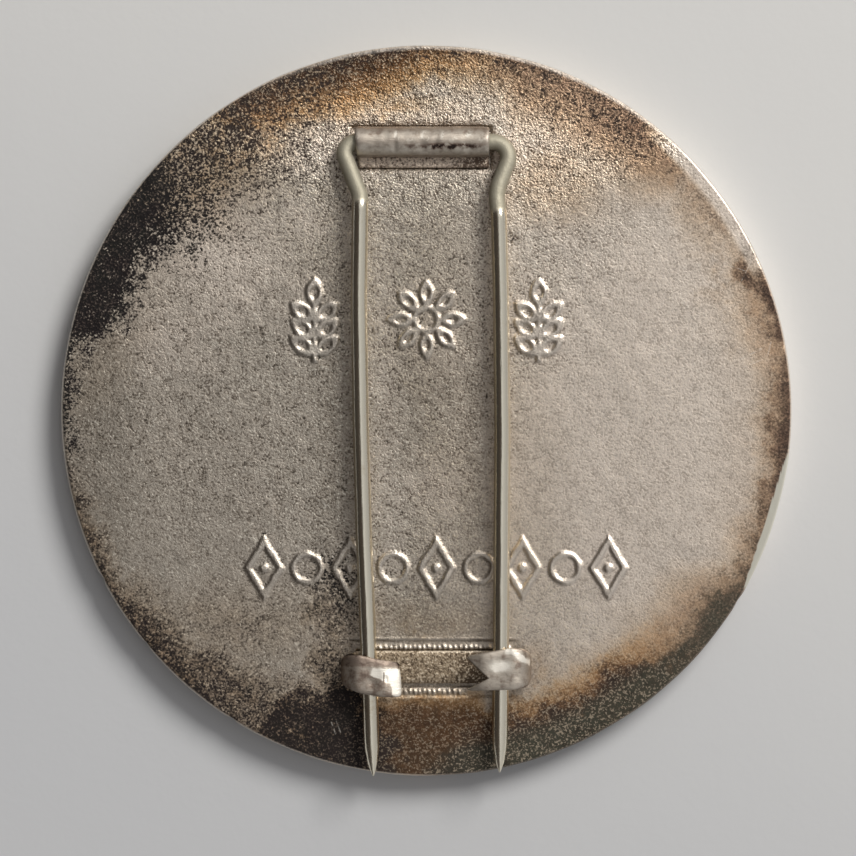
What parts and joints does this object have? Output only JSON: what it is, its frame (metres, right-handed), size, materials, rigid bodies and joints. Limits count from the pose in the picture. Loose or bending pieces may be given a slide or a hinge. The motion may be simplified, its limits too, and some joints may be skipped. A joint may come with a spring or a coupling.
{
  "type": "fire service medal with a hinged pin on its back",
  "caption": "Round struck service medal lying on its plain front, with raised ornaments on the back and a hinged double-prong pin closed under a hooked catch.",
  "frame": {"origin": "centre of the front face, on the surface the medal lies on", "axes": "+Z out of the back face, +Y towards the hinge, +X to the right when looking at the back"},
  "size_m": [0.045, 0.045, 0.0042],
  "materials": {
    "struck_silver": "struck grain, silver plated, tarnished",
    "strip_silver": "worn satin, silver plated",
    "nickel_wire": "smooth drawn wire, nickel silver"
  },
  "bodies": {
    "medal": {"medal_disc": "struck_silver", "hinge_plate": "strip_silver", "catch_plate": "strip_silver"},
    "pin": {"pin_wire": "nickel_wire"}
  },
  "joints": [
    {"name": "pin_swing", "type": "hinge", "parent": "medal", "child": "pin", "pos_m": [0, 0.0165, 0.0027], "axis": [-1, 0, 0], "range_deg": [0, 170]}
  ]
}
